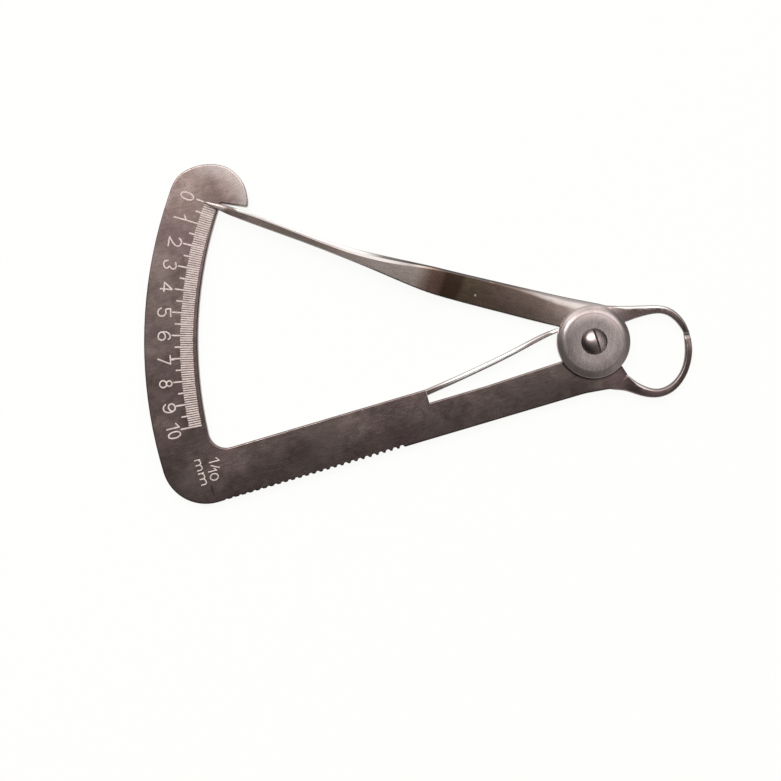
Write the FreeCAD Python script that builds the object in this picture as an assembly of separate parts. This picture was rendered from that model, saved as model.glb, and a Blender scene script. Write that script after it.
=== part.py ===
import FreeCAD, Part
import math
import os

os.makedirs("parts", exist_ok=True)

V = FreeCAD.Vector

# Lever caliper for 0 to 10 mm, lying on its back with the scale facing +Z.
# All lengths in mm. The pivot axis is the Z axis; the handle arm runs along -X.

# Frame plate
PLATE_T = 1.9
EDGE_R = 0.3
SCALE_R = 86.4
SCALE_W = 10.3
SCALE_NARROW = 0.4
CORNER_R = 8.5
INNER_CORNER_R = 3.4
HOOK_W = 14.7

# Handle arm and the slot sawn under the tongue
ARM_TOP = 0.38
ARM_W = 9.48
SLOT_END = 33.5
SLOT_DEPTH = 2.68
SLOT_DEPTH_HUB = 2.23

# Thumb grip: notches filed in the arm's lower edge
GRIP_COUNT = 26
GRIP_INSET = 1.7
GRIP_PITCH = 1.41
GRIP_R = 0.5
GRIP_DEEP = 0.52

# Hub: each arm is halved and carries a round lobe
LOBE_R = 4.3
LOBE_CLEAR = 0.15
LAP_GAP = 0.05
SHOULDER_R = 1.6
RUN_GAP = 0.04
THREAD_R = 1.1
DISC_R = 7.05
DISC_BEVEL = 1.2
DISC_WALL = 1.15
DISC_T = 1.95
HEAD_R = 2.35
HEAD_SEAT = 0.5
HEAD_DOME = 1.0
DRIVE_SLOT_W = 0.7
DRIVE_SLOT_DEEP = 0.75

# Jaws: curved round the throat's centre, tips on one ray from the pivot
JAW_R = 18.25
JAW_W = 1.25
JAW_GAP = 0.04
THROAT_R = 7.2
THROAT_IN = 7.85
THROAT_DROP = 4.8
TIP_DEG = -11.05

# Lever arm, along the ray of the zero mark
ZERO_DEG = 143.7
TIP_INSET = 6.8
TIP_LIFT = 0.22
LEVER_W = 5.6

# Tongue: rooted at the slot's end, its nose resting under the lever just inside the disc
TONGUE_GAP = 0.05
TONGUE_NOSE = 0.8156
TONGUE_W = 1.23
TONGUE_RISE = 4.53
TONGUE_EASE = 0.1

LAP_Z = PLATE_T / 2
HUB_FRONT = PLATE_T - LAP_GAP
HUB_T = HUB_FRONT - LAP_GAP
ARM_BOTTOM = ARM_TOP - ARM_W
SCALE_R_IN = SCALE_R - SCALE_W
NEEDLE_L = SCALE_R - TIP_INSET
TONGUE_L = SLOT_END - TONGUE_GAP - TONGUE_NOSE * DISC_R
THROAT = V(JAW_R - THROAT_IN, -THROAT_DROP, 0)


def polar(radius, degrees):
    a = math.radians(degrees)
    return V(radius * math.cos(a), radius * math.sin(a), 0)


def section(plain, eased, z0, z1, ease_w, ease_d):
    """Closed cross section between two plan points.

    The eased edge's front corner is rounded off by these shares of width and height.
    """
    across = eased - plain
    width = across.Length
    across.normalize()
    thick = z1 - z0
    small = 0.12 * min(width, thick)
    ew = ease_w * width
    ed = ease_d * thick
    pts = [(small, z0), (width - small, z0), (width, z0 + small)]
    for degrees in (0, 30, 60, 90):
        a = math.radians(degrees)
        pts.append((width - ew * (1 - math.cos(a)), z1 - ed * (1 - math.sin(a))))
    pts += [(small, z1), (0, z1 - small), (0, z0 + small)]
    ring_pts = [plain + across * n + V(0, 0, z) for n, z in pts]
    return Part.makePolygon(ring_pts + [ring_pts[0]])


def loft(sections):
    solid = Part.makeLoft(sections, True, False)
    if solid.Volume < 0:
        solid.reverse()
    return solid


def jaw_section(degrees, inner, width, rear, front, ease=0.35, deep=0.3):
    """Section on a ray from the throat's centre; shares of the named lengths."""
    ray = polar(1, degrees)
    near = THROAT + ray * (inner * THROAT_R)
    far = near + ray * (width * JAW_W)
    if degrees < 0:
        near, far = far, near
    return section(near, far, rear * PLATE_T, front * PLATE_T, ease, deep)


def tip_section(side, rear, front):
    """End face of a jaw, half the gap off the ray through both tips."""
    inner = polar(JAW_R - 0.46 * JAW_W, TIP_DEG) + V(0, side * JAW_GAP / 2, 0)
    outer = polar(JAW_R + 0.46 * JAW_W, TIP_DEG) + V(0, side * JAW_GAP / 2, 0)
    if side < 0:
        inner, outer = outer, inner
    return section(inner, outer, rear * PLATE_T, front * PLATE_T, 0.2, 0.2)


def spline(points, start=None, end=None):
    curve = Part.BSplineCurve()
    if start is None:
        curve.interpolate(Points=points)
    else:
        curve.interpolate(Points=points, InitialTangent=start, FinalTangent=end)
    return curve.toShape()


def line(a, b):
    return Part.LineSegment(a, b).toShape()


def arc(a, mid, b):
    return Part.Arc(a, mid, b).toShape()


def cylinder(radius, z0, z1, x=0.0, y=0.0):
    return Part.makeCylinder(radius, z1 - z0, V(x, y, z0))


def turned(profile):
    pts = [V(r, 0, z) for r, z in profile]
    face = Part.Face(Part.makePolygon(pts + [pts[0]]))
    return face.revolve(V(0, 0, 0), V(0, 0, 1), 360)


def corner(radius_of_arc, radius, floor_y):
    """Fillet between an arc round the pivot and a floor parallel to X: its two ends and middle."""
    cy = floor_y + radius
    cx = -math.sqrt((radius_of_arc - radius) ** 2 - cy ** 2)
    degrees = math.degrees(math.atan2(cy, cx)) % 360
    mid = V(cx, cy, 0) + polar(radius, (degrees + 270) / 2)
    return degrees, polar(radius_of_arc, degrees), mid, V(cx, floor_y, 0)


# Frame outline, anticlockwise from the top end of the scale plate's outer arc
HOOK_DEG = 144.6
HOOK_INNER_DEG = 143.1
HOOK_SHARES = [
    (0.07, 0.1), (0.24, 0.238), (0.344, 0.267), (0.473, 0.278), (0.629, 0.257), (0.861, 0.135),
    (0.971, -0.041), (0.999, -0.2), (0.985, -0.344), (0.958, -0.429),
]
out_deg, out_arc_end, out_mid, out_floor = corner(SCALE_R, CORNER_R, ARM_BOTTOM)
in_deg, in_arc_end, in_mid, in_floor = corner(SCALE_R_IN, INNER_CORNER_R, ARM_TOP)
hook_start = polar(SCALE_R, HOOK_DEG)
hook = [hook_start] + [hook_start + V(u * HOOK_W, v * HOOK_W, 0) for u, v in HOOK_SHARES]
in_top = polar(SCALE_R_IN + SCALE_NARROW, HOOK_INNER_DEG)

slot_top = V(-SLOT_END, ARM_TOP, 0)
slot_low = V(-SLOT_END, ARM_TOP - SLOT_DEPTH, 0)
slot_bend = V(-0.66 * SLOT_END, ARM_TOP - SLOT_DEPTH, 0)
slot_hub = V(-0.85 * DISC_R, ARM_TOP - SLOT_DEPTH_HUB, 0)
hub_mid = V(0.3 * LOBE_R, ARM_TOP - SLOT_DEPTH_HUB, 0)
hub_out = polar(0.8 * LOBE_R, -53)
JAW_ROOT_DEG = -152.0
root_ray = polar(1, JAW_ROOT_DEG)
root_in = THROAT + root_ray * (0.916 * THROAT_R)
root_out = THROAT + root_ray * (1.474 * THROAT_R)
arm_end = V(-0.71 * DISC_R, ARM_BOTTOM, 0)
arm_sag = V(-0.17 * DISC_R, ARM_BOTTOM - 0.036 * ARM_W, 0)

outline = [
    spline(hook, polar(1, HOOK_DEG - 90), polar(1, -109)),
    line(hook[-1], in_top),
    arc(in_top, polar(SCALE_R_IN, (HOOK_INNER_DEG + in_deg) / 2), in_arc_end),
    arc(in_arc_end, in_mid, in_floor),
    line(in_floor, slot_top),
    line(slot_top, slot_low),
    line(slot_low, slot_bend),
    line(slot_bend, slot_hub),
    line(slot_hub, hub_mid),
    line(hub_mid, hub_out),
    spline([hub_out, polar(0.91 * DISC_R, -54.2), polar(1.08 * DISC_R, -57), root_in]),
    line(root_in, root_out),
    spline([root_out, arm_sag, arm_end], V(-1, 0.33, 0), V(-1, 0, 0)),
    line(arm_end, out_floor),
    arc(out_floor, out_mid, out_arc_end),
    arc(out_arc_end, polar(SCALE_R, (HOOK_DEG + out_deg) / 2), hook_start),
]
plate = Part.Face(Part.Wire(Part.__sortEdges__(outline))).extrude(V(0, 0, PLATE_T))

nose = []
for edge in plate.Edges:
    upright = edge.BoundBox.ZLength > 0.5 * PLATE_T
    x = edge.Vertexes[0].Point.x
    if upright and min(abs(x - hook[-1].x), abs(x - in_top.x)) < 0.01:
        nose.append(edge)
plate = plate.makeFillet(1.5 * EDGE_R, nose)
rims = []
for edge in plate.Edges:
    mid = edge.valueAt((edge.FirstParameter + edge.LastParameter) / 2)
    flat = edge.BoundBox.ZLength < 0.001
    hidden = mid.Length < 0.95 * DISC_R
    at_root = min(abs(v.X - root_in.x) + abs(v.Y - root_in.y) for v in edge.Vertexes) < 0.01
    at_slot = abs(mid.x + SLOT_END) < 0.01
    if flat and not hidden and not at_root and not at_slot:
        rims.append(edge)
plate = plate.makeFillet(EDGE_R, rims)

lower_jaw = loft([
    jaw_section(-157, 0.96, 3.2, 0.0, 1.0, 0.07, 0.14),
    jaw_section(-150, 0.915, 3.05, 0.01, 0.99, 0.075, 0.15),
    jaw_section(-140, 0.911, 2.18, 0.02, 0.98, 0.14, 0.19),
    jaw_section(-128, 0.933, 1.76, 0.04, 0.96, 0.28, 0.26),
    jaw_section(-114, 0.976, 1.55, 0.07, 0.94),
    jaw_section(-98, 1.033, 1.32, 0.1, 0.91),
    jaw_section(-82, 1.036, 1.21, 0.12, 0.89),
    jaw_section(-64, 1.0, 1.05, 0.13, 0.87),
    jaw_section(-46, 0.953, 0.97, 0.15, 0.85),
    jaw_section(-28, 0.917, 1.0, 0.17, 0.83),
    jaw_section(-12, 0.913, 1.03, 0.19, 0.8),
    jaw_section(0, 0.935, 1.0, 0.22, 0.73),
    tip_section(-1, 0.26, 0.47),
])

frame = plate.fuse(lower_jaw)
frame = frame.cut(cylinder(LOBE_R + LOBE_CLEAR, LAP_Z, 2 * PLATE_T))
frame = frame.fuse(cylinder(LOBE_R, 0, LAP_Z))
frame = frame.cut(cylinder(THREAD_R, -PLATE_T, 2 * PLATE_T))
notches = []
for i in range(GRIP_COUNT):
    deep = GRIP_DEEP * (0.42 + 0.58 * i / (GRIP_COUNT - 1))
    centre = V(out_floor.x + GRIP_INSET + GRIP_PITCH * i, ARM_BOTTOM + deep - GRIP_R, -PLATE_T)
    bite = [centre + polar(GRIP_R, degrees) for degrees in (18, 66, 114, 162)]
    mouth = [centre + V(-GRIP_R, -GRIP_R, 0), centre + V(GRIP_R, -GRIP_R, 0)]
    face = Part.Face(Part.makePolygon(bite + mouth + [bite[0]]))
    notches.append(face.extrude(V(0, 0, 3 * PLATE_T)))
frame = frame.cut(Part.makeCompound(notches)).removeSplitter()


def tongue_section(along, rise, width, ease):
    """Section at a share of the tongue's length; rise of its lower edge and its width as shares."""
    x = -SLOT_END + TONGUE_GAP + along * TONGUE_L
    low = V(x, ARM_TOP - TONGUE_W + rise * TONGUE_RISE, 0)
    high = low + V(0, width * TONGUE_W, 0)
    return section(low, high, TONGUE_GAP, PLATE_T - TONGUE_EASE, ease, ease)


tongue = loft([
    tongue_section(0.0, 0.0, 1.0, 0.3),
    tongue_section(0.1, 0.083, 0.97, 0.35),
    tongue_section(0.3, 0.253, 0.93, 0.42),
    tongue_section(0.5, 0.445, 0.9, 0.45),
    tongue_section(0.7, 0.67, 0.89, 0.45),
    tongue_section(0.87, 0.89, 0.84, 0.42),
    tongue_section(0.95, 0.97, 0.73, 0.38),
    tongue_section(1.0, 1.0, 0.6, 0.3),
])

needle = polar(1, ZERO_DEG)
upward = polar(1, ZERO_DEG - 90)
needle_rise = PLATE_T + TIP_LIFT - LAP_GAP


def arm_section(along, low, high, lift, thick, ease_w, ease_d):
    """Section square to the zero ray; shares of the needle's length, the lever's width and the lift."""
    foot = needle * (along * NEEDLE_L)
    z0 = LAP_GAP + lift * needle_rise
    return section(foot + upward * (low * LEVER_W), foot + upward * (high * LEVER_W),
                   z0, z0 + thick * HUB_T, ease_w, ease_d)


# The lever: flat at the hub, set up over the scale plate's level, then a bevelled needle
lever = loft([
    arm_section(1.0, -0.018, 0.01, 1.0, 0.12, 0.3, 0.3),
    arm_section(0.967, -0.088, 0.105, 1.0, 0.32, 0.5, 0.5),
    arm_section(0.93, -0.14, 0.148, 1.0, 0.5, 0.38, 0.52),
    arm_section(0.895, -0.158, 0.16, 1.0, 0.58, 0.3, 0.48),
    arm_section(0.8, -0.163, 0.164, 0.97, 0.66, 0.32, 0.46),
    arm_section(0.678, -0.179, 0.171, 0.92, 0.72, 0.44, 0.56),
    arm_section(0.628, -0.202, 0.212, 0.9, 0.75, 0.46, 0.6),
    arm_section(0.584, -0.223, 0.282, 0.9, 0.75, 0.43, 0.62),
    arm_section(0.53, -0.262, 0.376, 0.9, 0.74, 0.34, 0.58),
    arm_section(0.465, -0.315, 0.498, 0.85, 0.75, 0.19, 0.4),
    arm_section(0.427, -0.328, 0.567, 0.74, 0.79, 0.13, 0.28),
    arm_section(0.389, -0.31, 0.63, 0.54, 0.84, 0.1, 0.22),
    arm_section(0.345, -0.26, 0.705, 0.31, 0.88, 0.09, 0.2),
    arm_section(0.28, -0.172, 0.818, 0.1, 0.93, 0.1, 0.22),
    arm_section(0.2, -0.065, 0.957, 0.02, 0.99, 0.16, 0.28),
    arm_section(0.13, 0.033, 1.08, 0.0, 1.0, 0.3, 0.4),
    arm_section(0.06, 0.145, 1.22, 0.0, 1.0, 0.34, 0.44),
    arm_section(0.01, 0.35, 1.33, 0.0, 1.0, 0.25, 0.4),
    jaw_section(116, 1.032, 3.44, 0.05, 0.965, 0.14),
    jaw_section(104, 0.975, 2.36, 0.08, 0.94, 0.2),
    jaw_section(92, 0.951, 1.82, 0.1, 0.915, 0.25),
    jaw_section(80, 0.96, 1.5, 0.12, 0.9),
    jaw_section(68, 0.996, 1.3, 0.14, 0.88),
    jaw_section(58, 1.029, 1.19, 0.15, 0.87),
    jaw_section(49, 1.042, 1.14, 0.16, 0.85),
    jaw_section(40, 1.035, 1.1, 0.17, 0.83),
    jaw_section(31, 1.018, 1.06, 0.19, 0.81),
    jaw_section(21, 1.003, 0.97, 0.22, 0.77),
    tip_section(1, 0.26, 0.66),
])
lever = lever.cut(cylinder(LOBE_R + LOBE_CLEAR, -PLATE_T, LAP_Z + LAP_GAP))
lever = lever.fuse(cylinder(LOBE_R, LAP_Z + LAP_GAP, HUB_FRONT))
lever = lever.cut(cylinder(DISC_R + LOBE_CLEAR, HUB_FRONT, 3 * PLATE_T))
lever = lever.cut(cylinder(SHOULDER_R + RUN_GAP, -PLATE_T, 2 * PLATE_T))

# Hub disc: wall, bevel, flat face and a seat for the screw head
top = PLATE_T + DISC_T
bore = SHOULDER_R + RUN_GAP
face_r = DISC_R - DISC_BEVEL
nip = 0.07 * DISC_T
hub_disc = turned([
    (bore, PLATE_T), (DISC_R - nip, PLATE_T), (DISC_R, PLATE_T + nip),
    (DISC_R, PLATE_T + DISC_WALL), (DISC_R - nip, PLATE_T + DISC_WALL + 1.5 * nip),
    (face_r + nip, top - nip), (face_r, top - 0.3 * nip), (face_r - nip, top),
    (HEAD_R + nip, top), (HEAD_R + 0.5 * nip, top - HEAD_SEAT), (bore, top - HEAD_SEAT),
])

# Pivot screw: thread into the frame's lobe, plain shoulder, domed slotted head
dome_z = top + 0.05 * DISC_T
dome = []
for i in range(8):
    a = math.radians(90 * i / 8)
    dome.append((HEAD_R * math.cos(a), dome_z + HEAD_DOME * math.sin(a) ** 1.15))
dome.append((0, dome_z + HEAD_DOME))
pivot_screw = turned([
    (0, 0), (0.95 * THREAD_R, 0), (THREAD_R, 0.05 * THREAD_R), (THREAD_R, LAP_Z),
    (SHOULDER_R, LAP_Z), (SHOULDER_R, top - HEAD_SEAT), (HEAD_R, top - HEAD_SEAT),
] + dome)
drive = Part.makeBox(DRIVE_SLOT_W, 3 * HEAD_R, HEAD_DOME,
                     V(-DRIVE_SLOT_W / 2, -1.5 * HEAD_R, dome_z + HEAD_DOME - DRIVE_SLOT_DEEP))
drive.rotate(V(0, 0, 0), V(0, 0, 1), 4)
pivot_screw = pivot_screw.cut(drive)

nodes = {
    "scale_frame": frame,
    "spring_tongue": tongue,
    "pointer_lever": lever,
    "hub_disc": hub_disc,
    "pivot_screw": pivot_screw,
}
for name, shape in nodes.items():
    if len(shape.Solids) == 1:
        shape = shape.Solids[0]
    shape.exportStep("parts/" + name + ".step")
    print(name, shape.isValid(), len(shape.Faces), round(shape.Volume, 1))
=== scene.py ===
import math
import random

import bmesh
import bpy
from mathutils import Matrix, Vector


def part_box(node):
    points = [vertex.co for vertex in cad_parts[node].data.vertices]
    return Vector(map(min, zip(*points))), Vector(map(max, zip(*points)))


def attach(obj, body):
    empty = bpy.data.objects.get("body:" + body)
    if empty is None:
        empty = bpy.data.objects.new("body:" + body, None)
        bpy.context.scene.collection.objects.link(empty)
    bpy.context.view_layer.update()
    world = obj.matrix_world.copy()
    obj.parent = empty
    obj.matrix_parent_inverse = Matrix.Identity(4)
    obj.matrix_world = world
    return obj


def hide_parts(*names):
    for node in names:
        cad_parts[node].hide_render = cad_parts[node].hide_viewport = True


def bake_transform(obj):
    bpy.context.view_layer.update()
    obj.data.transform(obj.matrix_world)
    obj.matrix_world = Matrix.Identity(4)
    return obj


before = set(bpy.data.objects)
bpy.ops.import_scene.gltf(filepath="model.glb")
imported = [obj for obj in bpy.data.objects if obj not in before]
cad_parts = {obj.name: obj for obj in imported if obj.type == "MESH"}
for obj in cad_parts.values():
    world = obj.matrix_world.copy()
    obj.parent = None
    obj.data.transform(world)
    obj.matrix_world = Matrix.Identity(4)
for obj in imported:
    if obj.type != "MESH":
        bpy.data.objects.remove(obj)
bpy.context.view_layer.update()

# Blender works in metres. Sizes and places on the object are in mm from the foot of the pivot, and
# MM turns them into metres. Noise has its steps per metre. Bumps, floor, lamp and camera are in
# metres.
MM = 0.001
PLATE_T = 1.9
PIVOT_JAW_R = 18.25
ZERO_DEG = 143.7
PHOTO_TURN = math.radians(16.5)

X_WAY = (1, 0, 0)
Y_WAY = (0, 1, 0)
IMAGE_UP = Vector((math.sin(PHOTO_TURN), math.cos(PHOTO_TURN), 0))
IMAGE_RIGHT = Vector((math.cos(PHOTO_TURN), -math.sin(PHOTO_TURN), 0))
NEEDLE_WAY = (math.cos(math.radians(ZERO_DEG)), math.sin(math.radians(ZERO_DEG)), 0)
ACROSS_WAY = (NEEDLE_WAY[1], -NEEDLE_WAY[0], 0)


# Node helpers

class Nodes:
    """A node tree with short calls for the nodes used here."""

    def __init__(self, tree):
        self.tree = tree

    def node(self, kind, **values):
        """A new node; a value that is no property of it goes to its input of that name."""
        made = self.tree.nodes.new(kind)
        for key, value in values.items():
            if hasattr(made, key):
                setattr(made, key, value)
            else:
                made.inputs[key.replace("_", " ")].default_value = value
        return made

    def link(self, a, b):
        self.tree.links.new(a, b)

    def math(self, operation, a, b=None):
        made = self.node("ShaderNodeMath", operation=operation)
        for socket, value in zip(made.inputs, (a, b)):
            if value is None:
                continue
            if isinstance(value, (int, float)):
                socket.default_value = value
            else:
                self.link(value, socket)
        return made.outputs[0]

    def product(self, *parts):
        out = parts[0]
        for part in parts[1:]:
            out = self.math("MULTIPLY", out, part)
        return out

    def less(self, share):
        """What is left of 1 without the share."""
        return self.math("SUBTRACT", 1.0, share)

    def wobbled(self, value, noise, amount):
        """The value moved up and down by a noise that swings about a half."""
        swing = self.math("MULTIPLY", self.math("SUBTRACT", noise, 0.5), amount)
        return self.math("ADD", value, swing)

    def ramp(self, value, low, high, to_low=0.0, to_high=1.0):
        """A smooth step from to_low, at low and below, to to_high, at high and above."""
        made = self.node("ShaderNodeMapRange", interpolation_type="SMOOTHSTEP",
                         From_Min=low, From_Max=high, To_Min=to_low, To_Max=to_high)
        self.link(value, made.inputs["Value"])
        return made.outputs["Result"]

    def dot(self, vector, direction):
        made = self.node("ShaderNodeVectorMath", operation="DOT_PRODUCT")
        self.link(vector, made.inputs[0])
        made.inputs[1].default_value = direction
        return made.outputs["Value"]

    def colour_ramp(self, share, stops):
        """Colours at places from 0 to 1. All the places are set before the first colour."""
        made = self.node("ShaderNodeValToRGB")
        self.link(share, made.inputs["Fac"])
        ramp = made.color_ramp
        for _ in stops[1:-1]:
            ramp.elements.new(0.5)
        for element, (at, colour) in zip(ramp.elements, stops):
            element.position = at
        for element, (at, colour) in zip(ramp.elements, stops):
            element.color = (*colour, 1.0)
        return made.outputs["Color"]


class Shader(Nodes):
    """A new material's node tree."""

    def __init__(self, name):
        self.material = bpy.data.materials.new(name)
        self.material.use_nodes = True
        super().__init__(self.material.node_tree)
        self.out = self.tree.nodes["Material Output"]
        self.surface = self.tree.nodes["Principled BSDF"]

    def mix(self, share, a, b):
        made = self.node("ShaderNodeMix", data_type="RGBA")
        self.link(share, made.inputs["Factor"])
        sockets = [s for s in made.inputs if s.type == "RGBA"]
        for socket, value in zip(sockets, (a, b)):
            if isinstance(value, tuple):
                socket.default_value = (*value, 1.0)
            else:
                self.link(value, socket)
        return [s for s in made.outputs if s.type == "RGBA"][0]

    def times(self, colour, factor):
        made = self.node("ShaderNodeHueSaturation")
        self.link(colour, made.inputs["Color"])
        self.link(factor, made.inputs["Value"])
        return made.outputs[0]

    def tinted_by(self, colour, other):
        made = self.node("ShaderNodeMix", data_type="RGBA", blend_type="MULTIPLY", Factor=1.0)
        sockets = [s for s in made.inputs if s.type == "RGBA"]
        self.link(colour, sockets[0])
        self.link(other, sockets[1])
        return [s for s in made.outputs if s.type == "RGBA"][0]

    def place(self):
        return self.node("ShaderNodeTexCoord").outputs["Object"]

    def brush_place(self, along, across, turn):
        """The place in brush strokes: few steps per metre along the turned way, many across it."""
        made = self.node("ShaderNodeMapping", vector_type="TEXTURE")
        self.link(self.place(), made.inputs["Vector"])
        made.inputs["Rotation"].default_value = (0, 0, turn)
        made.inputs["Scale"].default_value = (1 / along, 1 / across, 1 / along)
        return made.outputs[0]

    def noise(self, vector, scale, detail, rough, warp=0.0):
        made = self.node("ShaderNodeTexNoise", Scale=scale, Detail=detail, Roughness=rough,
                         Distortion=warp)
        self.link(vector, made.inputs["Vector"])
        return made.outputs["Fac"]

    def tilt(self):
        """How far the surface leans from facing straight up or down: 0 on flats, 1 on walls."""
        parts = self.node("ShaderNodeSeparateXYZ")
        self.link(self.node("ShaderNodeNewGeometry").outputs["Normal"], parts.inputs[0])
        return self.less(self.math("ABSOLUTE", parts.outputs[2]))

    def along(self, direction, wobble=None, amount=0.0):
        """Distance in mm along a direction from the pivot, with an uneven edge if asked."""
        reach = self.math("MULTIPLY", self.dot(self.place(), direction), 1000.0)
        if wobble is not None:
            reach = self.wobbled(reach, wobble, amount)
        return reach

    def away_from(self, x, y, wobble, amount):
        """Distance in mm from the upright line through a place on the plate, a little uneven."""
        flat = self.node("ShaderNodeVectorMath", operation="MULTIPLY")
        self.link(self.place(), flat.inputs[0])
        flat.inputs[1].default_value = (1000.0, 1000.0, 0.0)
        made = self.node("ShaderNodeVectorMath", operation="DISTANCE")
        self.link(flat.outputs[0], made.inputs[0])
        made.inputs[1].default_value = (x, y, 0.0)
        return self.wobbled(made.outputs["Value"], wobble, amount)

    def tones(self, value, stops):
        """Colours at given values, blended between them."""
        low = stops[0][0]
        span = stops[-1][0] - low
        share = self.math("DIVIDE", self.math("SUBTRACT", value, low), span)
        return self.colour_ramp(share, [((at - low) / span, colour) for at, colour in stops])

    def bump(self, height, distance, strength):
        made = self.node("ShaderNodeBump", Strength=strength, Distance=distance)
        self.link(height, made.inputs["Height"])
        self.link(made.outputs[0], self.surface.inputs["Normal"])


# Materials

RUBBED_TONE = (0.62, 0.57, 0.55)
BRUSH_STEPS = (260.0, 5200.0)
FINE_STEPS = (700.0, 14000.0)
FINE_TURN = 0.05
STEEL_BUMP = 0.000012
PAINT_BUMP = 0.00001


def worn_steel(name, bright, dark, tint, brush_turn, rough_low, rough_high, wear, veil):
    """Old plain steel: cloudy oxide stains, brush marks one way, pits, and edges worn bright.

    The veil adds what one piece alone has, painted light and shade among it. It finds the clouds,
    blots and lean on the shader.
    """
    s = Shader(name)
    place = s.place()
    s.clouds = s.noise(place, 95.0, 6.0, 0.62, 0.4)
    wide = s.noise(place, 28.0, 3.0, 0.5, 0.2)
    s.blots = s.noise(place, 430.0, 5.0, 0.6, 0.8)
    brush = s.noise(s.brush_place(*BRUSH_STEPS, brush_turn), 1.0, 3.0, 0.6)
    fine = s.noise(s.brush_place(*FINE_STEPS, brush_turn + FINE_TURN), 1.0, 2.0, 0.5)
    specks = s.noise(place, 2600.0, 2.0, 0.5)
    s.lean = s.tilt()

    stain = s.math("ADD", s.math("MULTIPLY", s.clouds, 0.55), s.math("MULTIPLY", wide, 0.45))
    stain = s.ramp(s.wobbled(stain, s.blots, 0.34), 0.36, 0.63)
    base = s.mix(stain, bright, dark)
    tinted = s.ramp(s.noise(place, 60.0, 3.0, 0.5, 0.5), 0.5, 0.68, 0.0, 0.5)
    base = s.mix(tinted, base, tint)
    base = s.times(base, s.math("ADD", 1.0, s.ramp(brush, 0.3, 0.7, -0.05, 0.05)))
    pits = s.ramp(specks, 0.69, 0.75, 0.0, 0.55)
    base = s.mix(pits, base, tuple(0.35 * c for c in dark))
    base = veil(s, base)
    rubbed = s.product(s.ramp(s.lean, 0.04, 0.45), s.ramp(s.blots, 0.3, 0.6, 0.55, 1.0), wear)
    base = s.mix(rubbed, base, RUBBED_TONE)
    s.link(base, s.surface.inputs["Base Color"])
    s.surface.inputs["Metallic"].default_value = 1.0

    rough = s.ramp(s.clouds, 0.35, 0.65, rough_low, rough_high)
    rough = s.math("ADD", rough, s.ramp(fine, 0.3, 0.7, -0.05, 0.05))
    rough = s.math("SUBTRACT", rough, s.math("MULTIPLY", rubbed, 0.1))
    s.link(rough, s.surface.inputs["Roughness"])

    height = s.math("ADD", s.math("MULTIPLY", fine, 0.5), s.math("MULTIPLY", s.blots, 0.7))
    height = s.math("SUBTRACT", height, s.math("MULTIPLY", pits, 1.2))
    s.bump(height, STEEL_BUMP, 0.5)
    return s.material


# Patches on the frame: place, reach in mm and how much they lighten or darken it
FRAME_PATCHES = [
    (-73.5, -1.2, 3.4, 1.14), (-66.5, -5.2, 4.6, 0.9), (-61.5, -3.2, 4.2, 0.8),
    (-48.6, -1.9, 4.0, 1.2), (-51.0, -6.8, 3.2, 0.84), (-44.8, -3.6, 3.0, 1.12),
    (-40.6, -5.4, 4.0, 0.86), (-36.6, -1.2, 3.0, 1.14), (-84.6, 1.5, 4.5, 0.84),
    (-77.5, 6.0, 3.6, 0.9), (-83.4, 17.0, 4.0, 0.92), (-76.2, 38.4, 3.4, 1.12),
    (-69.5, 50.3, 3.0, 0.94), (-62.6, 47.6, 3.4, 0.95), (-12.0, -6.0, 5.0, 0.96),
    (-3.8, -7.6, 2.6, 1.15), (-84.4, 7.0, 5.5, 1.4), (-79.5, -6.0, 6.0, 1.35),
    (-67.0, 49.4, 7.5, 1.36), (-58.6, 48.6, 4.2, 1.3), (1.2, -8.6, 4.6, 1.9),
    (-79.8, 24.4, 3.8, 0.78), (-72.4, -2.5, 4.4, 1.22), (-81.0, 23.0, 3.0, 1.35),
    (-60.0, -4.0, 3.4, 0.86), (-29.0, -5.0, 5.0, 0.85), (9.0, -12.8, 4.0, 1.45),
]
LOBE_MIDDLE = (-63.0, 46.6)
LOBE_RIM_TONE = (0.5, 0.455, 0.44)
LOWER_JAW_HIGHLIGHT_TONE = (0.55, 0.5, 0.48)
CREASE_X = -78.55
CREASE_TONE = (0.03, 0.022, 0.02)


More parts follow.
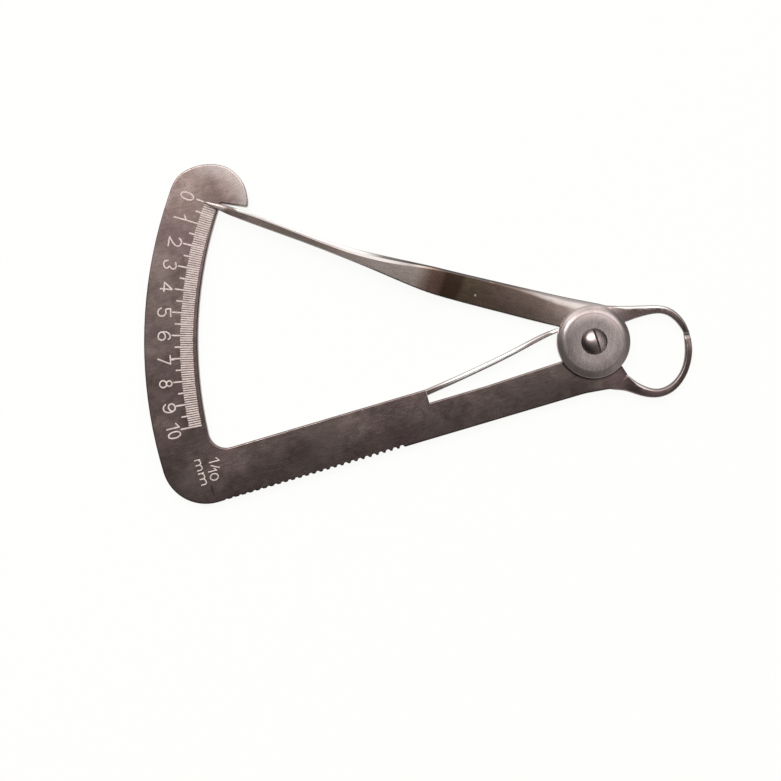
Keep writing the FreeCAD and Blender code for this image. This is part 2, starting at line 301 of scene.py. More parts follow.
def frame_veil(s, base):
    """Darker below the pivot and on the low rounded edges to its left, with painted shade in a ring
    round the disc and a painted highlight along the jaw's inner edge; paler at the rim of the lobe,
    with patches and one old crease.
    """
    x = s.along(X_WAY)
    y = s.along(Y_WAY)
    right = s.along(IMAGE_RIGHT)
    base = s.times(base, s.ramp(s.along(Y_WAY, s.clouds, 5.0), -9.5, 0.5, 0.62, 1.16))
    base = s.times(base, s.ramp(s.along(X_WAY, s.clouds, 2.0), 2.0, 7.0, 1.0, 0.85))
    for patch_x, patch_y, reach, change in FRAME_PATCHES:
        out = s.away_from(patch_x, patch_y, s.clouds, 0.7 * reach)
        base = s.times(base, s.ramp(out, 0.35 * reach, reach, change, 1.0))
    rim = s.product(
        s.ramp(s.away_from(*LOBE_MIDDLE, s.clouds, 3.0), 3.5, 7.4),
        s.ramp(s.along((1, 0.25, 0)), -53.0, -45.0),
        s.ramp(y, 38.0, 43.0), 0.45)
    base = s.mix(rim, base, LOBE_RIM_TONE)
    # Painted highlight along the lower jaw's inner edge
    jaw_edge_highlight = s.product(
        s.ramp(s.lean, 0.008, 0.02),
        s.ramp(right, 3.5, 7.5, 0.0, 0.6),
        s.ramp(right, 8.5, 12.5, 1.0, 0.2))
    base = s.mix(jaw_edge_highlight, base, LOWER_JAW_HIGHLIGHT_TONE)
    # Darker on the low rounded edges, most of all left of x = -52 mm and below y = 30 mm
    darker_left_edges = s.product(
        s.ramp(s.lean, 0.01, 0.08, 0.0, 0.6),
        s.ramp(x, -52.0, -36.0, 1.0, 0.3),
        s.ramp(y, 30.0, 42.0, 1.0, 0.0))
    base = s.times(base, s.less(darker_left_edges))
    # Painted shade: a dark ring on the plate just outside the disc, where the disc shades it
    base = s.times(base, s.ramp(s.away_from(0.0, 0.0, s.blots, 0.12), 7.08, 7.45, 0.36, 1.0))
    beside = s.math("SUBTRACT", s.along((1, 0.05, 0), s.blots, 0.5), CREASE_X)
    crease = s.product(
        s.ramp(s.math("ABSOLUTE", beside), 0.05, 0.16, 1.0, 0.0),
        s.ramp(y, -8.0, -7.0),
        s.ramp(y, -5.9, -5.3, 0.8, 0.0))
    return s.mix(crease, base, CREASE_TONE)


# Tones along the lever, by distance in mm from the pivot: temper colours, with painted shade
# from 27.8 to 30.8 mm where the arm bends
TEMPER_AND_BEND_SHADE = [
    (-30.0, (0.095, 0.072, 0.068)), (-5.0, (0.095, 0.072, 0.068)), (-3.0, (0.14, 0.11, 0.104)),
    (2.0, (0.28, 0.235, 0.22)), (5.0, (0.27, 0.225, 0.21)), (8.0, (0.18, 0.14, 0.127)),
    (12.0, (0.132, 0.1, 0.086)), (17.0, (0.103, 0.075, 0.064)), (21.0, (0.092, 0.065, 0.053)),
    (25.0, (0.105, 0.078, 0.058)), (27.0, (0.125, 0.09, 0.064)), (27.8, (0.066, 0.044, 0.031)),
    (30.8, (0.064, 0.04, 0.028)), (31.6, (0.125, 0.078, 0.062)), (33.6, (0.15, 0.098, 0.083)),
    (34.4, (0.2, 0.147, 0.125)), (36.4, (0.37, 0.315, 0.29)), (44.0, (0.31, 0.27, 0.252)),
    (50.0, (0.26, 0.222, 0.206)), (54.0, (0.165, 0.134, 0.123)), (70.0, (0.125, 0.1, 0.092)),
    (72.5, (0.075, 0.059, 0.054)), (75.0, (0.07, 0.055, 0.05)), (75.5, (0.155, 0.132, 0.126)),
    (80.0, (0.155, 0.132, 0.126)),
]
# Painted light on the lever's bevel: painted shade from 18 to 38 mm, painted highlight 50 to 72.8
# mm
BEVEL_SHADE_AND_HIGHLIGHT = [
    (18.0, (0.025, 0.022, 0.021)), (38.0, (0.035, 0.031, 0.029)), (43.5, (0.12, 0.11, 0.106)),
    (50.0, (0.95, 0.93, 0.92)), (72.8, (0.95, 0.93, 0.92)), (73.8, (0.2, 0.176, 0.169)),
]
HUB_EDGE_HIGHLIGHT_TONE = (0.2, 0.187, 0.182)
FACET_SHADE_TONE = (0.042, 0.038, 0.036)
FACET_HIGHLIGHT_START = (0.12, 0.113, 0.11)
FACET_HIGHLIGHT_END = (0.25, 0.236, 0.23)
UPPER_JAW_HIGHLIGHT_TONE = (0.6, 0.57, 0.55)
GLINT_AT = (-19.2, 15.0)
GLINT_TONE = (0.7, 0.67, 0.63)


def lever_veil(s, base):
    """Temper colours where the arm was heated to be set over the scale, with painted shade where it
    bends; painted shade and then painted highlight along its ground facets and bevel, and painted
    highlights along the upper edge by the hub, on the jaw's edge and at one glint spot.
    """
    reach = s.along(NEEDLE_WAY, s.clouds, 0.9)
    across = s.along(ACROSS_WAY, s.blots, 0.2)
    base = s.tinted_by(base, s.tones(reach, TEMPER_AND_BEND_SHADE))
    base = s.times(base, s.ramp(across, 0.0, 4.0, 0.92, 1.25))
    # Painted highlight along the lever's upper edge next to the hub
    hub_edge_highlight = s.product(
        s.ramp(across, 4.1, 5.2),
        s.ramp(reach, 13.0, 19.0, 1.0, 0.0),
        s.ramp(reach, -2.0, 3.0), 0.75)
    base = s.mix(hub_edge_highlight, base, HUB_EDGE_HIGHLIGHT_TONE)
    facet = s.ramp(s.lean, 0.0085, 0.0115)
    # Painted shade on the ground facet from 11 to 34 mm
    facet_shade = s.product(facet, s.ramp(reach, 11.0, 20.0), s.ramp(reach, 31.5, 34.0, 0.85, 0.0))
    base = s.mix(facet_shade, base, FACET_SHADE_TONE)
    # Painted highlight on the ground facet from 33.5 mm to near the tip
    facet_highlight = s.product(
        facet,
        s.ramp(reach, 33.5, 38.5, 0.0, 0.85),
        s.ramp(reach, 46.0, 54.0, 1.0, 0.6),
        s.ramp(reach, 72.5, 73.5, 1.0, 0.0))
    base = s.mix(facet_highlight, base, s.mix(s.ramp(reach, 36.0, 44.0), FACET_HIGHLIGHT_START, FACET_HIGHLIGHT_END))
    bevel = s.product(s.ramp(s.lean, 0.09, 0.14), s.ramp(reach, 15.0, 21.0))
    base = s.mix(bevel, base, s.tones(reach, BEVEL_SHADE_AND_HIGHLIGHT))
    under = s.product(s.ramp(across, -0.3, 0.0, 1.0, 0.0), s.ramp(reach, 73.0, 75.5), 0.6)
    base = s.times(base, s.less(under))
    # Painted highlight along the upper jaw's edge
    jaw_edge_highlight = s.product(
        s.ramp(s.lean, 0.008, 0.02),
        s.ramp(reach, -3.0, -1.0, 0.75, 0.0),
        s.ramp(s.along(IMAGE_RIGHT), 12.5, 15.5, 1.0, 0.3))
    base = s.mix(jaw_edge_highlight, base, UPPER_JAW_HIGHLIGHT_TONE)
    # Painted glint: a small bright spot on the lever
    painted_glint = s.ramp(s.away_from(*GLINT_AT, s.blots, 0.4), 0.1, 0.3, 0.55, 0.0)
    return s.mix(painted_glint, base, GLINT_TONE)


TONGUE_TONE = [
    (-34.0, (0.16, 0.13, 0.12)), (-20.0, (0.27, 0.23, 0.218)), (-5.0, (0.3, 0.25, 0.238)),
]
TONGUE_FROM = -25.0
TONGUE_SLOPE = 0.1493
TONGUE_BEND = 0.00187
GROUND_HIGHLIGHT_TONE = (0.8, 0.782, 0.77)


def tongue_veil(s, base):
    """Dark along the edge near the arm, a painted highlight over the ground rest, duller before the
    nose.
    """
    reach = s.along(X_WAY, s.clouds, 2.0)
    base = s.tinted_by(base, s.tones(reach, TONGUE_TONE))
    out = s.math("SUBTRACT", s.along(X_WAY), TONGUE_FROM)
    slope = s.math("ADD", s.math("MULTIPLY", out, TONGUE_BEND), TONGUE_SLOPE)
    rise = s.math("MULTIPLY", out, slope)
    across = s.math("SUBTRACT", s.along(Y_WAY, s.blots, 0.1), rise)
    before_nose = s.product(
        s.ramp(reach, -15.5, -11.0, 0.0, 0.86), s.ramp(reach, -7.6, -6.8, 1.0, 0.0))
    # Painted highlight over the ground upper part of the strip
    ground = s.product(
        s.ramp(across, 0.5, 0.74), s.ramp(reach, -33.0, -23.0), s.less(before_nose))
    return s.mix(ground, base, GROUND_HIGHLIGHT_TONE)


SLOT_OFF = 0.5
HIGHLIGHT_SPOT = (-0.45, 0.95)
LOW_LEFT = -0.6 * IMAGE_UP - 0.8 * IMAGE_RIGHT
PAST_SLOT_LOW = (0.6, 0.5, 0.48)
PAST_SLOT_HIGH = (0.1, 0.083, 0.079)
SLOT_SHADE_TONE = (0.03, 0.02, 0.018)


def screw_veil(s, base):
    """A painted highlight at one spot of the dome and painted shade to its lower left; past the
    slot a painted tone, darker high and paler low; brown towards the rim, and painted shade in the
    slot.
    """
    # Painted highlight round one spot of the dome
    base = s.times(base, s.ramp(s.away_from(*HIGHLIGHT_SPOT, s.clouds, 0.3), 0.3, 0.95, 0.85, 0.4))
    # Painted shade towards the lower left
    base = s.times(base, s.ramp(s.along(LOW_LEFT, s.clouds, 0.3), 0.3, 1.9, 1.6, 0.6))
    # Past the slot, a painted tone that evens out the dome's light: paler low, darker high
    up = s.ramp(s.along(IMAGE_UP, s.clouds, 0.3), -0.9, 1.2)
    past_slot = s.mix(up, PAST_SLOT_LOW, PAST_SLOT_HIGH)
    over = s.along((1, 0.03, 0))
    base = s.mix(s.ramp(over, SLOT_OFF, SLOT_OFF + 0.1, 0.0, 0.94), base, past_slot)
    base = s.times(base, s.ramp(s.away_from(0.0, 0.0, s.clouds, 0.3), 1.6, 2.2, 1.0, 0.5))
    # Painted shade in the slot
    inside = s.math("ABSOLUTE", s.math("SUBTRACT", over, SLOT_OFF))
    return s.mix(s.ramp(inside, 0.16, 0.2, 0.9, 0.0), base, SLOT_SHADE_TONE)


def hub_veil(s, base):
    """Painted light: darker upwards and to the left, the bevel darker upwards, with painted shade
    on the edge at its upper right and a painted highlight on the edge at its upper left alone.
    """
    out = s.away_from(0.0, 0.0, s.blots, 0.3)
    up = s.along(IMAGE_UP)
    over = s.along(IMAGE_RIGHT)
    on_bevel = s.ramp(out, 5.2, 5.75)
    at_edge = s.ramp(out, 6.0, 6.5)
    right = s.ramp(over, 0.8, 4.2)
    base = s.times(base, s.ramp(up, -5.0, 5.0, 1.22, 0.86))
    left = s.product(s.ramp(over, -5.5, -1.5, 0.4, 0.0), s.ramp(out, 5.2, 5.75, 1.0, 0.2))
    base = s.times(base, s.less(left))
    base = s.times(base, s.less(s.product(on_bevel, s.ramp(up, -5.0, 2.0, -0.05, 0.26))))
    # Painted shade on the edge at the upper right, next to the lever
    base = s.times(base, s.less(s.product(at_edge, s.ramp(up, 0.0, 3.0, 0.05, 0.6), right)))
    # Painted highlight on the edge at the upper left
    top = s.product(at_edge, s.ramp(up, 2.0, 5.5, 0.0, 0.35), s.less(right))
    return s.times(base, s.math("ADD", 1.0, top))


PALE_STEEL = ((1.0, 0.99, 0.98), (0.76, 0.74, 0.73), (0.88, 0.83, 0.83))
frame_steel = worn_steel(
    "frame_steel_worn_with_painted_light", (0.20, 0.153, 0.143), (0.096, 0.07, 0.064), (0.148, 0.1, 0.108),
    0.0, 0.18, 0.27, 0.22, frame_veil)
lever_steel = worn_steel(
    "lever_steel_worn_with_painted_light", *PALE_STEEL,
    math.radians(-36.3), 0.17, 0.25, 0.2, lever_veil)
tongue_steel = worn_steel(
    "tongue_steel_worn_with_painted_light", *PALE_STEEL,
    math.radians(8.5), 0.17, 0.25, 0.6, tongue_veil)
hub_steel = worn_steel(
    "hub_steel_turned_with_painted_light", (0.40, 0.34, 0.33), (0.29, 0.24, 0.23), (0.34, 0.28, 0.275),
    math.radians(73.5), 0.2, 0.28, 0.5, hub_veil)
screw_steel = worn_steel(
    "screw_steel_domed_with_painted_light", (0.55, 0.455, 0.435), (0.34, 0.265, 0.245), (0.42, 0.33, 0.31),
    math.radians(90), 0.3, 0.38, 0.1, screw_veil)


def pale_paint(name):
    """Pale filling of the engraved marks, thin and a little uneven."""
    s = Shader(name)
    place = s.place()
    patch = s.noise(place, 900.0, 4.0, 0.6)
    thin = s.noise(place, 3800.0, 3.0, 0.6)
    base = s.mix(s.ramp(patch, 0.35, 0.65), (0.44, 0.362, 0.34), (0.56, 0.472, 0.445))
    base = s.mix(s.ramp(thin, 0.56, 0.7, 0.0, 0.45), base, (0.24, 0.185, 0.175))
    s.link(base, s.surface.inputs["Base Color"])
    s.surface.inputs["Metallic"].default_value = 0.0
    s.surface.inputs["Roughness"].default_value = 0.6
    s.bump(thin, PAINT_BUMP, 0.4)
    return s.material


mark_filling = pale_paint("mark_filling")


# Steel pieces: the frame, lever and tongue are carried over into one smooth mesh each

SHARP_DEG = 38.0
FACET_DEG = 5.5
# In metres: points nearer than the first become one, and edges shorter than the second go
SAME_PLACE = 0.000001
NO_LENGTH = 0.0000001


def add_object(name, data):
    made = bpy.data.objects.new(name, data)
    bpy.context.scene.collection.objects.link(made)
    return made


def mesh_from(work, name):
    mesh = bpy.data.meshes.new(name)
    work.to_mesh(mesh)
    work.free()
    return mesh


def add_piece(name, mesh, material):
    piece = add_object(name, mesh)
    mesh.materials.append(material)
    return piece


def shade(work, sharp, crisp_from=None, borders=None):
    """Smooth all over, creased at sharp edges.

    Past crisp_from, in mm from the pivot, ground facets keep the creases between them too.
    """
    for face in work.faces:
        face.smooth = True
    for edge in work.edges:
        if len(edge.link_faces) != 2:
            continue
        limit = sharp
        middle = (edge.verts[0].co + edge.verts[1].co) / 2
        if crisp_from and edge[borders] and middle.length > crisp_from * MM:
            limit = FACET_DEG
        edge.smooth = edge.calc_face_angle(0.0) < math.radians(limit)


def smooth_copy(node, name, material, crisp_from=None):
    """One mesh of a node's CAD faces, which come apart from each other; its flats shade evenly."""
    work = bmesh.new()
    work.from_mesh(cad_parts[node].data)
    borders = work.edges.layers.int.new("face_border")
    for edge in work.edges:
        edge[borders] = int(len(edge.link_faces) == 1)
    bmesh.ops.remove_doubles(work, verts=work.verts, dist=SAME_PLACE)
    bmesh.ops.dissolve_degenerate(work, edges=work.edges, dist=NO_LENGTH)
    shade(work, SHARP_DEG, crisp_from, borders)
    work.edges.layers.int.remove(borders)
    piece = add_piece(name, mesh_from(work, name), material)
    weighted = piece.modifiers.new("even_flats", "WEIGHTED_NORMAL")
    weighted.keep_sharp = True
    weighted.weight = 80
    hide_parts(node)
    return piece


plate = smooth_copy("scale_frame", "frame_plate", frame_steel)
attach(plate, "frame")
lever = smooth_copy("pointer_lever", "lever_arm", lever_steel, crisp_from=21.0)
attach(lever, "pointer")
tongue = smooth_copy("spring_tongue", "tongue_strip", tongue_steel, crisp_from=8.0)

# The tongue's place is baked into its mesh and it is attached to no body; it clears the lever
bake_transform(tongue)


# Hub disc and screw: turned anew

TURNED_STEPS = 144
TURNED_SHARP_DEG = 24.0
SAWN_SHARP_DEG = 30.0


def smooth_line(points, steps=6):
    """Catmull-Rom line through the points."""
    pts = [Vector((x, y, 0)) for x, y in points]
    out = []
    for i in range(len(pts) - 1):
        p1 = pts[i]
        p2 = pts[i + 1]
        p0 = pts[i - 1] if i > 0 else p1 * 2 - p2
        p3 = pts[i + 2] if i + 2 < len(pts) else p2 * 2 - p1
        for k in range(steps):
            t = k / steps
            a = p1 * 2
            b = (p2 - p0) * t
            c = (p0 * 2 - p1 * 5 + p2 * 4 - p3) * t * t
            d = (p1 * 3 - p0 - p2 * 3 + p3) * t * t * t
            out.append((a + b + c + d) * 0.5)
    out.append(pts[-1])
    return out


def turned_mesh(name, profile, closed):
    """A mesh turned round the pivot; the profile's points are radius and height in mm."""
    work = bmesh.new()
    rings = []
    for radius, height in profile:
        count = TURNED_STEPS if radius > 0 else 1
        ring = []
        for i in range(count):
            a = 2 * math.pi * i / count
            at = Vector((radius * math.cos(a), radius * math.sin(a), height)) * MM
            ring.append(work.verts.new(at))
        rings.append(ring)
    pairs = list(zip(rings, rings[1:]))
    if closed:
        pairs.append((rings[-1], rings[0]))
    for a, b in pairs:
        for i in range(TURNED_STEPS):
            j = (i + 1) % TURNED_STEPS
            corners = [a[i % len(a)], a[j % len(a)], b[j % len(b)], b[i % len(b)]]
            work.faces.new(list(dict.fromkeys(corners)))
    bmesh.ops.recalc_face_normals(work, faces=work.faces)
    shade(work, TURNED_SHARP_DEG)
    return mesh_from(work, name)


# The disc's face is crowned a little, so that the light runs off towards the rim
BORE_R = 1.64
SEAT_R = 2.42
SEAT_DEPTH = 0.5
FACE_R = 5.75
CROWN_R = FACE_R - 0.12
FLAT_R = 3.8
CROWN = 0.09
CROWN_STEPS = 7
low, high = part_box("hub_disc")
disc_r = high.x / MM
disc_base = low.z / MM
disc_top = high.z / MM
bevel_line = [
    (disc_r, disc_base + 1.0), (disc_r - 0.1, disc_base + 1.27),
    (disc_r - 0.52, disc_base + 1.52), (disc_r - 1.02, disc_base + 1.77),
]
crown_line = []
for i in range(CROWN_STEPS + 1):
    r = CROWN_R - (CROWN_R - FLAT_R) * i / CROWN_STEPS
    crown_line.append((r, disc_top - CROWN * ((r - FLAT_R) / (FACE_R - FLAT_R)) ** 2))
rim_line = [(p.x, p.y) for p in smooth_line(bevel_line + crown_line, steps=4)]
disc_mesh = turned_mesh("hub_disc_turned", [
    (BORE_R, disc_base), (disc_r - 0.12, disc_base), (disc_r, disc_base + 0.12),
    *rim_line,
    (SEAT_R + 0.1, disc_top), (SEAT_R + 0.03, disc_top - 0.05), (SEAT_R, disc_top - 0.14),
    (SEAT_R, disc_top - SEAT_DEPTH), (BORE_R, disc_top - SEAT_DEPTH),
], closed=True)
disc = add_piece("hub_disc_turned", disc_mesh, hub_steel)
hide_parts("hub_disc")
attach(disc, "frame")

# The screw has its thread, its shoulder and a domed head, whose slot was sawn off its middle
HEAD_R = 2.35
THREAD_R = 1.1
SHOULDER_R = 1.6
HEAD_RISE = 0.1
DOME_STEPS = 16
SLOT_W = 0.36
SLOT_DEEP = 0.75
SLOT_TURN = math.radians(1.5)
low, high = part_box("pivot_screw")
screw_top = high.z / MM
head_base = disc_top - SEAT_DEPTH
dome_base = disc_top + HEAD_RISE
dome = []
for i in range(DOME_STEPS):
    a = math.radians(90 * i / DOME_STEPS)
    rise = (screw_top - dome_base) * math.sin(a) ** 1.15
    dome.append((HEAD_R * math.cos(a), dome_base + rise))
dome.append((0.0, screw_top))
screw_mesh = turned_mesh("screw_head", [
    (0.0, 0.0), (0.95 * THREAD_R, 0.0), (THREAD_R, 0.06), (THREAD_R, PLATE_T / 2),
    (SHOULDER_R, PLATE_T / 2), (SHOULDER_R, head_base), (HEAD_R, head_base),
    *dome,
], closed=False)
saw = bmesh.new()
bmesh.ops.create_cube(saw, size=1.0)
bmesh.ops.scale(saw, verts=saw.verts, vec=Vector((SLOT_W, 3 * HEAD_R, 2 * SLOT_DEEP)) * MM)
bmesh.ops.rotate(saw, verts=saw.verts, matrix=Matrix.Rotation(SLOT_TURN, 3, "Z"))
bmesh.ops.translate(saw, verts=saw.verts, vec=Vector((SLOT_OFF, 0, screw_top)) * MM)
saw_piece = add_object("saw", mesh_from(saw, "saw"))
screw = add_piece("screw_head", screw_mesh, screw_steel)
cut = screw.modifiers.new("drive_slot", "BOOLEAN")
cut.operation = "DIFFERENCE"
cut.solver = "EXACT"
cut.object = saw_piece
bpy.context.view_layer.update()
evaluated = screw.evaluated_get(bpy.context.evaluated_depsgraph_get())
slotted = bpy.data.meshes.new_from_object(evaluated)
screw.modifiers.remove(cut)
screw.data = slotted
bpy.data.objects.remove(saw_piece)
work = bmesh.new()
work.from_mesh(slotted)
shade(work, SAWN_SHARP_DEG)
work.to_mesh(slotted)
work.free()
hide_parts("pivot_screw")
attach(screw, "frame")


# Marks on the scale plate

MARK_W = 0.3
MARK_RISE = 0.014
MARK_SUNK = 0.05
TICK_W = 0.305
TICK_IN = 76.95
TICK_FINE = 79.4
TICK_HALF = 80.45
TICK_FULL = 81.1
SCALE_MARKS = 101


def polar(radius, degrees):
    a = math.radians(degrees)
    return Vector((radius * math.cos(a), radius * math.sin(a), 0))


def mark_degrees(reading):
    """Where the needle points when the jaws stand this many mm apart."""
    return ZERO_DEG + 2 * math.degrees(math.asin(reading / (2 * PIVOT_JAW_R)))


def add_marks(name, work):
    bmesh.ops.recalc_face_normals(work, faces=work.faces)
    piece = add_piece(name, mesh_from(work, name), mark_filling)
    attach(piece, "frame")


def ribbon(work, points, width, closed=False):
    """A flat low-crowned stroke laid along points in mm, sunk a little into the plate."""
    count = len(points)
    foot = Vector((0, 0, PLATE_T - MARK_SUNK))
    shoulder = Vector((0, 0, PLATE_T + 0.6 * MARK_RISE))
    crown = Vector((0, 0, PLATE_T + MARK_RISE))
    half = width / 2
    rows = []
    for i, p in enumerate(points):
        before = points[i - 1] if (i > 0 or closed) else p
        after = points[(i + 1) % count] if (i < count - 1 or closed) else p
        along = (after - before).normalized()
        side = Vector((-along.y, along.x, 0))
        rows.append([
            p - side * half + foot,
            p - side * half * 0.86 + shoulder,
            p + crown,
            p + side * half * 0.86 + shoulder,
            p + side * half + foot,
        ])
    verts = [[work.verts.new(v * MM) for v in row] for row in rows]
    spans = count if closed else count - 1
    for i in range(spans):
        a = verts[i]
        b = verts[(i + 1) % count]
        for j in range(5):
            k = (j + 1) % 5
            work.faces.new((a[j], a[k], b[k], b[j]))
    if not closed:
        work.faces.new(verts[0])
        work.faces.new(verts[-1])


def stroke(work, points, width):
    """A ribbon with a short tip past each end, so that it doesn't stop square."""
    first = points[0] + (points[0] - points[1]).normalized() * width * 0.3
    last = points[-1] + (points[-1] - points[-2]).normalized() * width * 0.3
    ribbon(work, [first] + points + [last], width)


def ring_line(x, y, half_x, half_y, turn, steps=22):
    """Points round an ellipse, turned by so many degrees."""
    c = math.cos(math.radians(turn))
    q = math.sin(math.radians(turn))
    out = []
    for i in range(steps):
        a = 2 * math.pi * i / steps
        p = Vector((half_x * math.cos(a), half_y * math.sin(a), 0))
        out.append(Vector((x + p.x * c - p.y * q, y + p.x * q + p.y * c, 0)))
    return out


chance = random.Random(7)
ticks = bmesh.new()
for i in range(SCALE_MARKS):
    degrees = mark_degrees(i / 10)
    r_out = TICK_FULL if i % 10 == 0 else TICK_HALF if i % 5 == 0 else TICK_FINE
    r_out += chance.uniform(-0.05, 0.05)
    r_in = TICK_IN + chance.uniform(-0.04, 0.04)
    width = TICK_W * chance.uniform(0.9, 1.1)
    if i % 5 == 0:
        width *= 1.1
    ribbon(ticks, [polar(r_in, degrees), polar(r_out, degrees)], width)
add_marks("scale_ticks", ticks)

# The numerals and the unit: straight strokes, curved strokes, and rings as x, y, two radii, turn
STROKES = {
    "numeral_1": [((-70.45, 45.98), (-67.95, 44.4)), ((-68.4, 45.7), (-68.35, 44.75))],
    "numeral_4": [((-76.9, 33.45), (-74.75, 32.67)), ((-76.4, 32.75), (-75.75, 34.4)),
                  ((-75.75, 34.4), (-74.8, 32.75))],
    "numeral_7": [((-81.15, 20.55), (-79.1, 19.0)), ((-79.1, 19.0), (-78.72, 20.6)),
                  ((-78.85, 19.75), (-78.2, 19.6))],
    "numeral_10": [((-83.4, 7.05), (-80.95, 6.92)), ((-80.95, 6.92), (-81.4, 7.75))],
    "unit_mm": [((-80.0, -0.2), (-78.95, -0.2)), ((-80.0, -2.85), (-78.95, -2.85))],
    "unit_tenth": [((-77.35, -1.3), (-75.4, -1.4)), ((-75.4, -1.4), (-75.85, -0.75)),
                   ((-77.2, -1.95), (-75.75, -2.75)), ((-78.0, -3.0), (-76.4, -3.05)),
                   ((-76.4, -3.05), (-76.8, -2.6))],
}
CURVES = {
    "numeral_2": [((-73.08, 40.95), (-72.62, 41.95), (-72.33, 42.5), (-72.2, 41.9),
                   (-72.0, 41.15), (-71.63, 40.52), (-71.05, 40.33), (-70.52, 40.72),
                   (-70.42, 41.2), (-70.62, 41.7))],
    "numeral_3": [((-73.92, 38.25), (-74.55, 38.28), (-74.93, 37.8), (-74.85, 37.15),
                   (-74.4, 36.86), (-73.95, 37.12), (-73.72, 36.6), (-73.2, 36.33),
                   (-72.74, 36.72), (-72.66, 37.45))],
    "numeral_5": [((-77.75, 29.82), (-78.35, 29.62), (-78.66, 29.02), (-78.45, 28.46),
                   (-77.82, 28.28), (-77.22, 28.58), (-76.98, 29.32), (-76.08, 29.18)),
                  ((-76.08, 29.18), (-76.5, 27.72))],
    "numeral_6": [((-78.2, 23.68), (-77.8, 23.82), (-77.66, 24.45), (-78.05, 25.05),
                   (-78.75, 25.35), (-79.4, 25.33), (-79.85, 24.88), (-79.86, 24.22),
                   (-79.36, 23.86), (-78.72, 24.08), (-78.55, 24.7), (-78.8, 25.28))],
    "numeral_9": [((-82.3, 11.75), (-82.84, 11.3), (-82.82, 10.62), (-82.25, 10.18),
                   (-81.4, 10.1), (-80.75, 10.42), (-80.62, 11.02), (-81.0, 11.55),
                   (-81.6, 11.52), (-81.9, 11.02), (-81.68, 10.42), (-81.35, 10.12))],
    "unit_mm": [((-80.0, -1.2), (-79.3, -1.2), (-78.98, -0.95), (-79.05, -0.45), (-79.3, -0.22)),
                ((-80.0, -2.2), (-79.3, -2.2), (-78.98, -1.95), (-79.05, -1.45), (-79.3, -1.22)),
                ((-80.0, -3.95), (-79.3, -3.95), (-78.98, -3.7), (-79.05, -3.15), (-79.3, -2.9)),
                ((-80.0, -5.05), (-79.3, -5.05), (-78.98, -4.8), (-79.05, -4.25), (-79.3, -4.0))],
}
RINGS = {
    "numeral_0": [(-66.85, 49.08, 1.28, 0.66, -37.0)],
    "numeral_8": [(-81.6, 15.68, 0.66, 0.66, 0.0), (-80.42, 15.45, 0.52, 0.52, 0.0)],
    "numeral_10": [(-82.25, 5.68, 1.2, 0.6, 0.0)],
    "unit_tenth": [(-77.2, -4.2, 0.78, 0.62, 0.0)],
}
for name in sorted(set(STROKES) | set(CURVES) | set(RINGS)):
    work = bmesh.new()
    width = MARK_W * (0.8 if name.startswith("unit") else 1.0)
    for a, b in STROKES.get(name, []):
        stroke(work, [Vector((*a, 0)), Vector((*b, 0))], width)
    for points in CURVES.get(name, []):
        stroke(work, smooth_line(points), width)
    for ring in RINGS.get(name, []):
        ribbon(work, ring_line(*ring), width, closed=True)
    add_marks(name, work)


# Floor

FLOOR_HALF = 6.0
FLOOR_DROP = 0.00002
FLOOR_TONE = (0.9, 0.9, 0.89, 1)
FLOOR_GLOW = (1.0, 1.0, 0.985, 1)
MIRRORED_TONE = (1.0, 0.97, 0.94, 1)


def floor_material():
    """White as it is seen, with a faint shadow. Steel mirrors it darker near the object and
    brighter far beyond the image's top.
    """
    s = Shader("pale_floor")
    s.tree.nodes.remove(s.surface)
    path = s.node("ShaderNodeLightPath")
    lit = s.node("ShaderNodeBsdfDiffuse", Color=FLOOR_TONE)
    seen = s.node("ShaderNodeEmission", Color=FLOOR_GLOW, Strength=0.985)
    soft = s.node("ShaderNodeMixShader", Fac=0.95)
    s.link(lit.outputs[0], soft.inputs[1])
    s.link(seen.outputs[0], soft.inputs[2])
    mirrored = s.node("ShaderNodeEmission", Color=MIRRORED_TONE)
    s.link(s.ramp(s.along(IMAGE_UP), 90.0, 420.0, 0.8, 1.5), mirrored.inputs["Strength"])
    chosen = s.node("ShaderNodeMixShader")
    s.link(path.outputs["Is Glossy Ray"], chosen.inputs[0])
    s.link(soft.outputs[0], chosen.inputs[1])
    s.link(mirrored.outputs[0], chosen.inputs[2])
    s.link(chosen.outputs[0], s.out.inputs["Surface"])
    return s.material


floor_mesh = bpy.data.meshes.new("floor")
floor_mesh.from_pydata(
    [(-FLOOR_HALF, -FLOOR_HALF, 0), (FLOOR_HALF, -FLOOR_HALF, 0),
     (FLOOR_HALF, FLOOR_HALF, 0), (-FLOOR_HALF, FLOOR_HALF, 0)], [], [(0, 1, 2, 3)])
floor = add_object("floor", floor_mesh)
floor_mesh.materials.append(floor_material())
floor.location = (0, 0, -FLOOR_DROP)


# Light: a large soft box beyond the image's top, dim overhead, with a weak fill from both sides

SOFTBOX = 4.0
SOFTBOX_SIDES = 0.1
SKY_BANDS = [
    (-1.0, 0.01), (-0.5, 0.015), (-0.2, 0.035), (0.0, 0.07), (0.06, 0.125), (0.13, 0.27),
    (0.21, 0.6), (0.3, 0.95), (0.6, 0.95), (0.8, 0.45), (1.0, 0.38),
]
FILL_BANDS = [
    (-1.0, 0.27), (-0.6, 0.15), (0.0, 0.1), (0.4, 0.2), (0.65, 0.45), (0.8, 0.4), (1.0, 0.25),
]

world = bpy.data.worlds.new("studio")
bpy.context.scene.world = world
world.use_nodes = True
studio = Nodes(world.node_tree)
sky_way = studio.node("ShaderNodeTexCoord").outputs["Generated"]


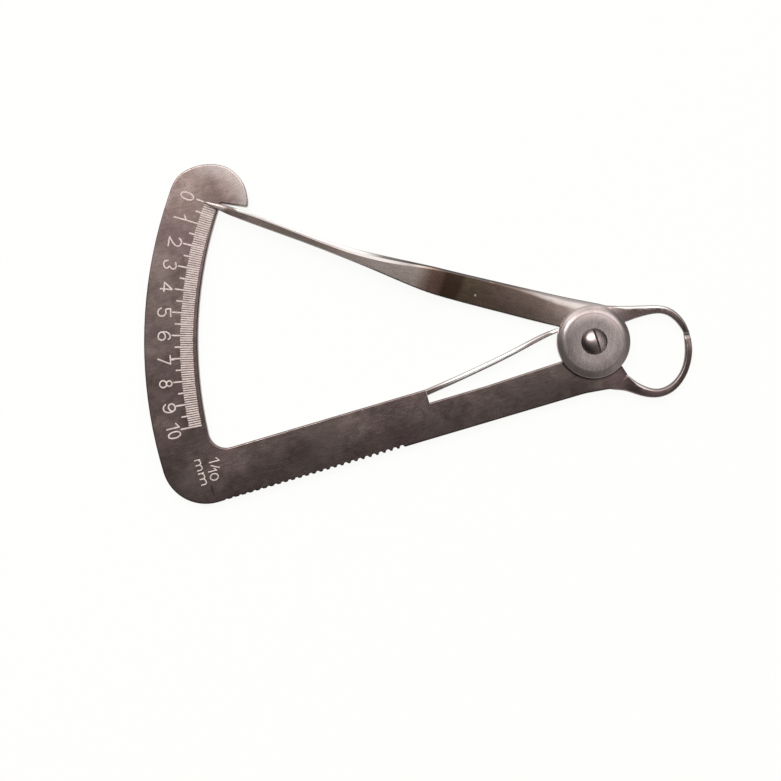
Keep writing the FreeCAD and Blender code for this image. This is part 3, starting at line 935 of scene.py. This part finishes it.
def bands(direction, levels):
    """Warm greys by how far a direction of the sky leans one way, from -1 to 1."""
    half = studio.node("ShaderNodeMapRange", From_Min=-1.0, From_Max=1.0)
    studio.link(studio.dot(sky_way, direction), half.inputs["Value"])
    return studio.colour_ramp(half.outputs["Result"], [
        (lean / 2 + 0.5, (level, level * 0.985, level * 0.97)) for lean, level in levels])


aside = studio.math("ABSOLUTE", studio.dot(sky_way, IMAGE_RIGHT))
sky = studio.tree.nodes["Background"]
studio.link(bands(IMAGE_UP, SKY_BANDS), sky.inputs["Color"])
studio.link(studio.ramp(aside, 0.3, 0.75, SOFTBOX, SOFTBOX * SOFTBOX_SIDES), sky.inputs["Strength"])
fill = studio.node("ShaderNodeBackground")
studio.link(bands(IMAGE_RIGHT, FILL_BANDS), fill.inputs["Color"])
both = studio.node("ShaderNodeAddShader")
studio.link(sky.outputs[0], both.inputs[0])
studio.link(fill.outputs[0], both.inputs[1])
studio.link(both.outputs[0], studio.tree.nodes["World Output"].inputs["Surface"])

# A small lamp from the upper left
KEY_AIM = Vector((-0.035, 0.02, 0))
KEY_OFFSET = IMAGE_UP * 0.22 - IMAGE_RIGHT * 0.2 + Vector((0, 0, 0.45))
key_data = bpy.data.lights.new("key", "AREA")
key_data.shape = "DISK"
key_data.size = 0.15
key_data.energy = 0.9
key_data.color = (1.0, 0.985, 0.97)
key = add_object("key", key_data)
key.location = KEY_AIM + KEY_OFFSET
key.rotation_euler = (-KEY_OFFSET).to_track_quat("-Z", "Y").to_euler()


# Camera: straight above the plate, and turned as the photograph is

CAMERA_OVER = Vector((-0.04, 0.0021, 0))
CAMERA_DISTANCE = 0.3
SEEN_WIDTH = 0.1502
camera_data = bpy.data.cameras.new("camera")
camera_data.sensor_width = 36.0
camera_data.lens = camera_data.sensor_width * CAMERA_DISTANCE / SEEN_WIDTH
camera_data.clip_start = 0.01
camera = add_object("camera", camera_data)
camera.location = CAMERA_OVER + Vector((0, 0, PLATE_T * MM + CAMERA_DISTANCE))
camera.rotation_euler = (0, 0, -PHOTO_TURN)
bpy.context.scene.camera = camera
bpy.context.scene.view_settings.view_transform = "Standard"
